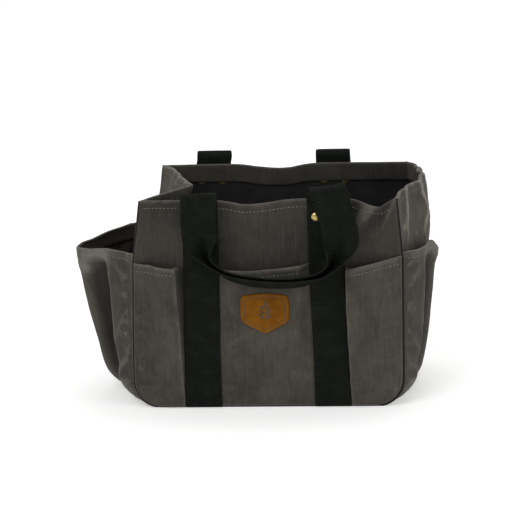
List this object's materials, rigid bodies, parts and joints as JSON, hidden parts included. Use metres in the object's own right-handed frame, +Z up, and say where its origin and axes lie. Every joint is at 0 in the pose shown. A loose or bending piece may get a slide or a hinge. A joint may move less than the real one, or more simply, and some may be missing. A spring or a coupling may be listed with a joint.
{
  "type": "garden tool bag",
  "caption": "Open-topped waxed canvas tool tote with outside pockets on every side, webbing straps, and two webbing handles with folded grips that hang outside the rim.",
  "frame": {"origin": "centre of the bag's footprint, on the floor", "axes": "+Z up; the front, which carries the leather label, faces -Y; +X to the right when seen from the front, along the longest side"},
  "size_m": [0.396, 0.2024, 0.2409],
  "materials": {
    "canvas": "charcoal waxed cotton canvas, dull with a faint sheen",
    "webbing": "black cotton webbing with fine cross ribs",
    "lining": "black plain-weave lining",
    "piping": "black cord binding",
    "board": "matt stiffener board",
    "label": "tan leather, burnished darker in the middle, debossed border",
    "brass": "satin brass"
  },
  "bodies": {
    "bag": {"front_panel": "canvas", "back_panel": "canvas", "gusset": "canvas", "lining": "lining", "base_board": "board", "front_pocket_left": "canvas", "front_pocket_centre": "canvas", "front_pocket_right": "canvas", "back_pocket_left": "canvas", "back_pocket_centre": "canvas", "back_pocket_right": "canvas", "side_pocket_left": "canvas", "side_pocket_right": "canvas", "front_piping": "piping", "back_piping": "piping", "front_strap_left": "webbing", "front_strap_right": "webbing", "back_strap_left": "webbing", "back_strap_right": "webbing", "leather_label": "label", "front_rivets": "brass", "front_rivet_backs": "brass", "back_rivets": "brass", "back_rivet_backs": "brass"},
    "front_handle": {"front_handle": "webbing"},
    "back_handle": {"back_handle": "webbing"}
  },
  "joints": [
    {"name": "front_handle_fold", "type": "hinge", "parent": "bag", "child": "front_handle", "pos_m": [0, -0.0921, 0.233], "axis": [-1, 0, 0], "range_deg": [0, 175]},
    {"name": "back_handle_fold", "type": "hinge", "parent": "bag", "child": "back_handle", "pos_m": [0, 0.0921, 0.233], "axis": [1, 0, 0], "range_deg": [0, 175]}
  ]
}
